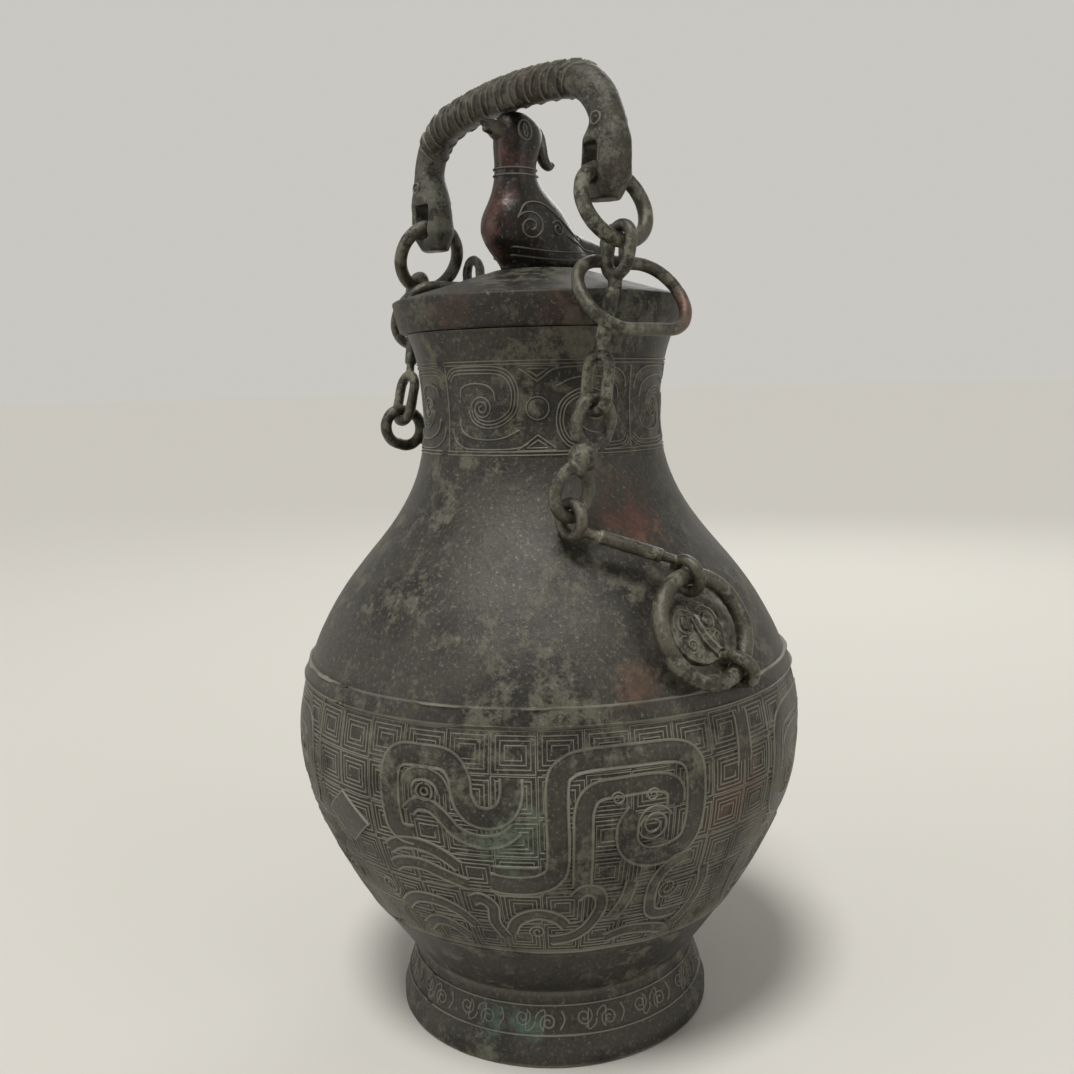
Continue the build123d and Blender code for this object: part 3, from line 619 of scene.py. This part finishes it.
# Foot: small double scrolls between two lines
foot = {"startAngle": -90.0, "reference": 53.6, "units": 16, "low": 10.2, "middle": 14.9, "high": 19.6}
footThread = threadSection(0.8, 0.3)
footLine = threadSection(1.0, 0.5)
footUnit = 2 * math.pi * foot["reference"] / foot["units"]
scrollHalf = spiralPath((4.4, 14.2), 20, 1.6, 0.6, 2.9)
scrollHalf += smoothPath([scrollHalf[-1], (3.2, 18), (0.6, 16.9), (0, foot["middle"])])[1:]
footRelief = newRelief()
for unit in range(foot["units"]):
    start = unit * footUnit
    for turn in (1, -1):
        path = [Vector((start + turn * p.x, foot["middle"] + turn * (p.y - foot["middle"])))
                for p in scrollHalf]
        layStrip(footRelief, path, footThread)
    divider = smoothPath([(start + 8.2, 11.6), (start + 10, foot["middle"]), (start + 8.8, 18.2)])
    layStrip(footRelief, divider, footThread)
for height in (foot["low"], foot["high"]):
    layStrip(footRelief, levelRing(foot["units"] * footUnit, height, 14 * foot["units"]), footLine, True)
footBand = raiseRelief("footBand", footRelief, onVessel(foot["startAngle"], foot["reference"]))
dress(footBand, "vessel", "body_bronze")


# Small castings: the CAD shape is skinned over, softened as worn metal and made uneven

castings = {
    "bird_finial": {"name": "birdCasting", "body": "lid", "slot": "bird_bronze", "voxel": 0.45, "passes": 8,
                    "lump": 5.0, "rise": 0.25},
    "serpent_handle": {"name": "serpentHandle", "body": "handle", "slot": "handle_bronze", "voxel": 0.5,
                       "passes": 14, "lump": 5.0, "rise": 0.5},
}
for side in ("right", "left"):
    castings[side + "_lid_lug"] = {"name": side + "LidLug", "body": "lid", "slot": "chain_bronze",
                                   "voxel": 0.35, "passes": 4, "lump": 3.0, "rise": 0.4}
    castings[side + "_mask_lug"] = {"name": side + "MaskLug", "body": "vessel", "slot": "chain_bronze",
                                    "voxel": 0.4, "passes": 4, "lump": 2.4, "rise": 0.5}
    for kind in ("lower", "middle", "upper"):
        castings[f"{side}_{kind}_link"] = {
            "name": side + kind.title() + "Link", "body": f"{side}_{kind}", "slot": "chain_bronze",
            "voxel": 0.38, "passes": 5, "lump": 5.0, "rise": 0.3}
    for kind in ("shoulder", "handle", "guide"):
        castings[f"{side}_{kind}_ring"] = {
            "name": side + kind.title() + "Ring", "body": f"{side}_{kind}_ring", "slot": "chain_bronze",
            "voxel": 0.43, "passes": 3, "lump": 6.0, "rise": 0.28}

pieces = {}
for node, cast in castings.items():
    piece = bpy.data.objects.new(cast["name"], cadNodes[node].data.copy())
    scene.collection.objects.link(piece)
    pickUp(piece)
    bpy.ops.object.mode_set(mode="EDIT")
    bpy.ops.mesh.select_all(action="SELECT")
    bpy.ops.mesh.remove_doubles(threshold=0.005 * mm)
    bpy.ops.object.mode_set(mode="OBJECT")
    skin = piece.modifiers.new("castSkin", "REMESH")
    skin.mode = "VOXEL"
    skin.voxel_size = cast["voxel"] * mm
    soft = piece.modifiers.new("wornSoft", "SMOOTH")
    soft.factor = 0.5
    soft.iterations = cast["passes"]
    roughen(piece, cast["lump"], cast["rise"])
    applyModifiers(piece)
    markWearAndHighlights(piece)
    dress(piece, cast["body"], cast["slot"], node)
    pieces[node] = piece
    print("cast", cast["name"], len(piece.data.polygons))


# Serpent handle: rows of scales over the crown and ringed eyes on the heads

def castTree(node):
    return surfaceTree(pieces[node])


def meetSurface(tree, start, aim, rise):  # point on the surface that a ray meets, lifted by rise mm
    spot, normal = tree.ray_cast(start, aim)[:2]
    if spot is None:
        spot, normal = tree.find_nearest(start)[:2]
    return spot + normal * rise * mm


def softenBand(piece, low, high, beyond, passes):  # smooths the piece between two heights, beyond an x in mm
    band = piece.vertex_groups.new(name="softBand")
    for vertex in piece.data.vertices:
        inside = min(vertex.co.z / mm - low, high - vertex.co.z / mm)
        if inside > 0 and abs(vertex.co.x) / mm > abs(beyond) and vertex.co.x * beyond > 0:
            band.add([vertex.index], min(1.0, inside / 3), "REPLACE")
    modifier = piece.modifiers.new("softBand", "SMOOTH")
    modifier.vertex_group = band.name
    modifier.iterations = passes
    applyModifiers(piece)
    piece.vertex_groups.remove(piece.vertex_groups["softBand"])


serpent = {"plane": -11.5, "base": 289.644, "leg": 11.2, "legHalf": 52.0, "corner": 21.0, "crownRise": 34.6,
           "crownRadius": 222.4, "meet": math.radians(81.15), "radius": 5.7, "scaleRow": 4.2,
           "scaleWidth": 4.6, "scaleReach": 3.4, "scalesFrom": -50.0, "scalesTo": 42.0,
           "jaws": ((1, 292.29), (-1, 286.99)), "eyeHalf": 52.0, "eyeUp": 13.5, "softFrom": 7,
           "softTo": 28, "softBeyond": 40, "softPasses": 40}
crownRun = serpent["crownRadius"] * (math.pi / 2 - serpent["meet"])
cornerMiddle = serpent["legHalf"] - serpent["corner"]
for end, jaw in serpent["jaws"]:
    softenBand(pieces["serpent_handle"], jaw + serpent["softFrom"], jaw + serpent["softTo"],
               end * serpent["softBeyond"], serpent["softPasses"])
markWearAndHighlights(pieces["serpent_handle"])
handleTree = castTree("serpent_handle")


def handleAxis(run):  # middle of the bar and its outward direction, run mm from the crown's middle
    side = 1 if run >= 0 else -1
    away = abs(run)
    if away <= crownRun:
        turn = math.pi / 2 - away / serpent["crownRadius"]
        x = serpent["crownRadius"] * math.cos(turn)
        z = serpent["crownRise"] + serpent["crownRadius"] * (math.sin(turn) - 1)
    else:
        turn = serpent["meet"] - (away - crownRun) / serpent["corner"]
        x = cornerMiddle + serpent["corner"] * math.cos(turn)
        z = serpent["leg"] + serpent["corner"] * math.sin(turn)
    middle = Vector((side * x, serpent["plane"], serpent["base"] + z)) * mm
    return middle, Vector((side * math.cos(turn), 0, math.sin(turn)))


def onHandle(run, around, rise):
    middle, outward = handleAxis(run)
    turn = around / serpent["radius"]
    aim = outward * math.cos(turn) + Vector((0, 1, 0)) * math.sin(turn)
    return meetSurface(handleTree, middle + aim * 0.016, -aim, rise)


# the ridge of each scale carries a high pale share: dust and painted highlight
scaleEdge = [(-0.3, -0.1, 0.0), (0, 0.6, 0.8), (0.55, 0.42, 0.1), (2.1, -0.1, 0.0)]
scaleRelief = newRelief()
row = 0
start = serpent["scalesFrom"]
while start < serpent["scalesTo"]:
    for scale in (-1, 0, 1) if row % 2 == 0 else (-0.5, 0.5):
        arc = [Vector((start + serpent["scaleReach"] * math.sin(math.pi * k / 8) ** 0.8,
                       serpent["scaleWidth"] * (scale + k / 8 - 0.5))) for k in range(9)]
        layStrip(scaleRelief, arc, scaleEdge)
    edgeY = serpent["scaleWidth"] * (1.5 if row % 2 == 0 else 1.0)
    upper = [(start - 2.2, edgeY + 9.6), (start - 0.4, edgeY + 5), (start + 0.3, edgeY)]
    layStrip(scaleRelief, smoothPath([(x, -y) for x, y in upper]), scaleEdge)
    layStrip(scaleRelief, smoothPath(upper[::-1]), scaleEdge)
    row += 1
    start += serpent["scaleRow"]
serpentScales = raiseRelief("serpentScales", scaleRelief, onHandle)
dress(serpentScales, "handle", "handle_bronze")

eyeRelief = newRelief()
pupil = [(-0.5, -0.1, 0.2), (0, 0.5, 0.0), (0.44, 0.6, 0.0)]
for end, jaw in serpent["jaws"]:
    eyeMiddle = (end * serpent["eyeHalf"], jaw + serpent["eyeUp"])
    for reach, section in ((1.9, threadSection(0.9, 0.45)), (0.45, pupil)):
        layStrip(eyeRelief, ovalPath(eyeMiddle, reach, reach, 16), section, True)


def onHeadFace(face):
    def place(x, z, rise):
        start = Vector((x, serpent["plane"] - face * 30, z)) * mm
        return meetSurface(handleTree, start, Vector((0, face, 0)), rise)
    return place


for face, name in ((1, "serpentEyesFront"), (-1, "serpentEyesBack")):
    serpentEyes = raiseRelief(name, eyeRelief if face == 1 else turnedOver(eyeRelief), onHeadFace(face))
    dress(serpentEyes, "handle", "handle_bronze")

# Bird: wing scrolls, feather lines and eyes on both flanks, a collar, a beak and a hanging crest
bird = {"neck": (-8.6, 0.0), "neckRun": 36, "collar": (297.2, 299.4), "thread": 0.8, "rise": 0.4,
        "eye": (-9.4, 311.6), "eyeHalves": (2.3, 3.3), "pupilHalves": (0.7, 2.0)}
birdTree = castTree("bird_finial")
birdThread = threadSection(bird["thread"], bird["rise"])
birdLines = [
    spiralPath((-11, 279.4), 150 - 1.7 * 360, 1.7, 0.9, 5.2),
    spiralPath((0, 279.2), 150 - 1.5 * 360, 1.5, 0.7, 2.9),
    smoothPath([(-15.5, 282), (-12, 287), (-6, 287.4), (0, 284), (6, 280), (14, 275.6)]),
    smoothPath([(-16, 270.4), (-6, 269.2), (4, 269), (13, 269.6)]),
    smoothPath([(-16.6, 273), (-6, 271.8), (4, 271.6), (15, 272.4)]),
    smoothPath([(4.4, 277.6), (9, 275.6), (16, 273.8), (22, 273.2)]),
    ovalPath(bird["eye"], *bird["pupilHalves"], 16, 1),
]
eyeOval = ovalPath(bird["eye"], *bird["eyeHalves"], 24)


def onFlank(side):
    def place(y, z, rise):
        return meetSurface(birdTree, Vector((side * 30, y, z)) * mm, Vector((-side, 0, 0)), rise)
    return place


for side, name in ((1, "birdScrollsRight"), (-1, "birdScrollsLeft")):
    flank = newRelief()
    for line in birdLines:
        layStrip(flank, line, birdThread)
    layStrip(flank, eyeOval, threadSection(1.0, 0.55), True)
    flankPiece = raiseRelief(name, flank if side == 1 else turnedOver(flank), onFlank(side))
    dress(flankPiece, "lid", "bird_bronze")


def onBirdNeck(x, z, rise):  # x runs round the neck
    turn = x / bird["neckRun"] * 2 * math.pi
    outward = Vector((math.sin(turn), -math.cos(turn), 0))
    start = Vector((bird["neck"][1], bird["neck"][0], z)) * mm + outward * 0.03
    return meetSurface(birdTree, start, -outward, rise)


collarRelief = newRelief()
for height in bird["collar"]:
    layStrip(collarRelief, levelRing(bird["neckRun"], height, 48), threadSection(1.0, 0.5), True)
birdCollar = raiseRelief("birdCollar", collarRelief, onBirdNeck)
dress(birdCollar, "lid", "bird_bronze")

horns = {  # side view y and z in mm, with the thickness
    "birdBeak": [(-9.5, 310.3, 4.8), (-14, 311.2, 4.3), (-18.4, 312.7, 2.8), (-21.8, 313.9, 1.4),
                 (-23.4, 314.3, 0.5)],
    "birdCrest": [(-5, 315.8, 1.6), (-0.6, 314.8, 2.2), (1.6, 311, 2.4), (2.2, 306.8, 2.3), (3.2, 303.2, 2.1),
                  (5.6, 301.4, 1.7), (7, 303, 1.1)],
}
for name, points in horns.items():
    hornLine = bpy.data.curves.new(name, "CURVE")
    hornLine.dimensions = "3D"
    hornLine.bevel_depth = mm
    hornLine.bevel_resolution = 5
    hornLine.use_fill_caps = True
    hornRun = hornLine.splines.new("NURBS")
    hornRun.points.add(len(points) - 1)
    for point, (y, z, thick) in zip(hornRun.points, points):
        point.co = (0, y * mm, z * mm, 1)
        point.radius = thick
    hornRun.use_endpoint_u = True
    hornRun.order_u = 4
    hornRun.resolution_u = 8
    horn = bpy.data.objects.new(name, hornLine)
    scene.collection.objects.link(horn)
    pickUp(horn)
    bpy.ops.object.convert(target="MESH")
    horn = bpy.context.object
    roughen(horn, 2.5, 0.25)
    applyModifiers(horn)
    markWearAndHighlights(horn)
    dress(horn, "lid", "bird_bronze")

# Masks: a crusted field behind each ring, ringed eyes, brows and a snout that runs in to the eye of the lug
mask = {"centre": (77.564, -2.5, 148.5), "faceAngle": 30.19, "field": 16.0, "fieldMiddle": (4.5, 1.0),
        "fieldRise": 1.2, "fieldRings": 28, "fieldSteps": 96, "eyes": 4.6, "eyeUp": 3.0, "eyeRing": 3.0,
        "faceAway": 4.6, "fieldAway": 25}
maskThread = threadSection(0.9, 0.5)
maskLines = [
    (smoothPath([(-0.4, 5.6), (0.2, 1.6), (1.4, -2.4), (3.6, -6), (5.8, -9)]), bandSection(3.2, 0.9)),
    (smoothPath([(-9.4, 2.4), (-8, 6), (-4.6, 8), (-1.8, 7), (-0.6, 9.4)]), maskThread),
    (smoothPath([(9.4, 2.4), (8, 6), (4.6, 8), (1.8, 7)]), maskThread),
    (spiralPath((-4.6, -4), 60, -1.5, 0.6, 2.4), maskThread),
    (smoothPath([(-9, -3.4), (-8, -0.8), (-5, -0.6)]), maskThread),
    (smoothPath([(9, -2.6), (7, -1), (5.2, -2.6), (6.4, -4.6)]), maskThread),
]
for eyeSide in (-1, 1):
    eyeRing = spiralPath((eyeSide * mask["eyes"], mask["eyeUp"]), 0, 1.0, mask["eyeRing"], mask["eyeRing"])
    maskLines.append((eyeRing, threadSection(0.8, 0.4)))
lean = math.radians(mask["faceAngle"])


def onMask(side, tree, away):  # rays start that many mm in front of the mask
    centre = Vector((side * mask["centre"][0], mask["centre"][1], mask["centre"][2]))
    normal = Vector((side * math.cos(lean), 0, math.sin(lean)))
    upward = Vector((-side * math.sin(lean), 0, math.cos(lean)))

    def place(x, y, rise):
        start = (centre + Vector((0, x, 0)) + upward * y + normal * away) * mm
        return meetSurface(tree, start, -normal, rise)
    return place


maskRelief = newRelief()
for line, section in maskLines:
    layStrip(maskRelief, line, section)
field = newRelief()
for ring in range(mask["fieldRings"] + 1):
    for step in range(mask["fieldSteps"]):
        reach, turn = mask["field"] * ring / mask["fieldRings"], step * 2 * math.pi / mask["fieldSteps"]
        x = mask["fieldMiddle"][0] + reach * math.cos(turn)
        y = mask["fieldMiddle"][1] + reach * math.sin(turn)
        crust = noise.noise(Vector((x, y, 0)) * 0.45) + 0.6 * noise.noise(Vector((x, y, 9)) * 1.3)
        rim = ring == mask["fieldRings"]
        field["spots"].append((x, y, -0.3 if rim else mask["fieldRise"] * (0.8 + 0.45 * crust)))
        field["dustAndHighlight"].append(min(1.0, max(0.0, 0.5 + 0.8 * crust)))
        if ring:
            a, b = (ring - 1) * mask["fieldSteps"], ring * mask["fieldSteps"]
            after = (step + 1) % mask["fieldSteps"]
            field["faces"].append((a + step, b + step, b + after, a + after))
for side, name in ((1, "right"), (-1, "left")):
    facing = maskRelief if side == 1 else turnedOver(maskRelief)
    fieldFacing = field if side == 1 else turnedOver(field)
    lugTree = castTree(name + "_mask_lug")
    maskFace = raiseRelief(name + "MaskFace", facing, onMask(side, lugTree, mask["faceAway"]))
    dress(maskFace, "vessel", "chain_bronze")
    maskField = raiseRelief(name + "MaskField", fieldFacing, onMask(side, vesselTree, mask["fieldAway"]))
    dress(maskField, "vessel", "chain_bronze")


# Floor, light and camera

stage = {"floor": "#d3d0c8", "floorSize": 60.0, "floorDrop": 0.0002, "floorRough": 0.9, "floorShine": 0.1,
         "world": "#dcdad4", "worldLight": 0.34, "backdrop": 0.82, "lampAim": (0, 0, 0.16)}
freshStart()
bpy.ops.mesh.primitive_plane_add(size=stage["floorSize"], location=(0, 0, -stage["floorDrop"]))
floor = bpy.context.object
floor.name = "paleFloor"
floorPaint = bpy.data.materials.new("palePaintedBoard")
floorPaint.use_nodes = True
floorSkin = floorPaint.node_tree.nodes["Principled BSDF"]
floorSkin.inputs["Base Color"].default_value = linear(stage["floor"])
floorSkin.inputs["Roughness"].default_value = stage["floorRough"]
floorSkin.inputs["Specular IOR Level"].default_value = stage["floorShine"]
floor.data.materials.append(floorPaint)

world = bpy.data.worlds.new("softStudio")
scene.world = world
world.use_nodes = True
sky = world.node_tree.nodes["Background"]
sky.inputs["Color"].default_value = linear(stage["world"])
rays = addNode(world.node_tree, "ShaderNodeLightPath")
reflected = addNode(world.node_tree, "ShaderNodeMath", {"operation": "MAXIMUM"},
                    {0: rays.outputs["Is Glossy Ray"], 1: rays.outputs["Is Transmission Ray"]})
seen = addNode(world.node_tree, "ShaderNodeMath", {"operation": "MAXIMUM"},
               {0: rays.outputs["Is Camera Ray"], 1: reflected.outputs[0]})
glow = addNode(world.node_tree, "ShaderNodeMapRange", None,
               {0: seen.outputs[0], 3: stage["worldLight"], 4: stage["backdrop"]})
world.node_tree.links.new(glow.outputs[0], sky.inputs["Strength"])

lamps = [
    ("keyLight", "SUN", (0.174, -0.319, 0.932), math.radians(16), 2.2),
    ("fillLight", "AREA", (-0.35, -1.15, 0.5), 0.8, 3.0),
    ("sideLight", "AREA", (1.1, 0.25, 0.6), 0.6, 2.0),
    ("backLight", "AREA", (-0.6, 0.9, 0.8), 0.6, 2.5),
]
for name, kind, spot, size, power in lamps:
    lampData = bpy.data.lights.new(name, kind)
    lampData.energy = power
    if kind == "SUN":
        lampData.angle = size
    else:
        lampData.size = size
    lamp = bpy.data.objects.new(name, lampData)
    scene.collection.objects.link(lamp)
    lamp.location = spot
    aim = -Vector(spot) if kind == "SUN" else Vector(stage["lampAim"]) - Vector(spot)
    lamp.rotation_euler = aim.to_track_quat("-Z", "Y").to_euler()

camera = {"eye": (0.3173, -0.2435, 0.2268), "heading": 52.5, "pitch": 7.878, "roll": -1.32, "sensor": 36,
          "focalPixels": 1109, "photoPixels": 1074, "shift": -0.0073}
cameraData = bpy.data.cameras.new("photoView")
cameraData.lens = camera["focalPixels"] / camera["photoPixels"] * camera["sensor"]
cameraData.sensor_width = camera["sensor"]
cameraData.shift_x = camera["shift"]
cameraData.clip_start = 0.01
cameraPiece = bpy.data.objects.new("photoView", cameraData)
scene.collection.objects.link(cameraPiece)
cameraPiece.matrix_world = (Matrix.Translation(camera["eye"])
                            @ Matrix.Rotation(math.radians(camera["heading"]), 4, "Z")
                            @ Matrix.Rotation(math.radians(90 - camera["pitch"]), 4, "X")
                            @ Matrix.Rotation(math.radians(camera["roll"]), 4, "Z"))
scene.camera = cameraPiece
scene.view_settings.view_transform = "Standard"
print("stage set")
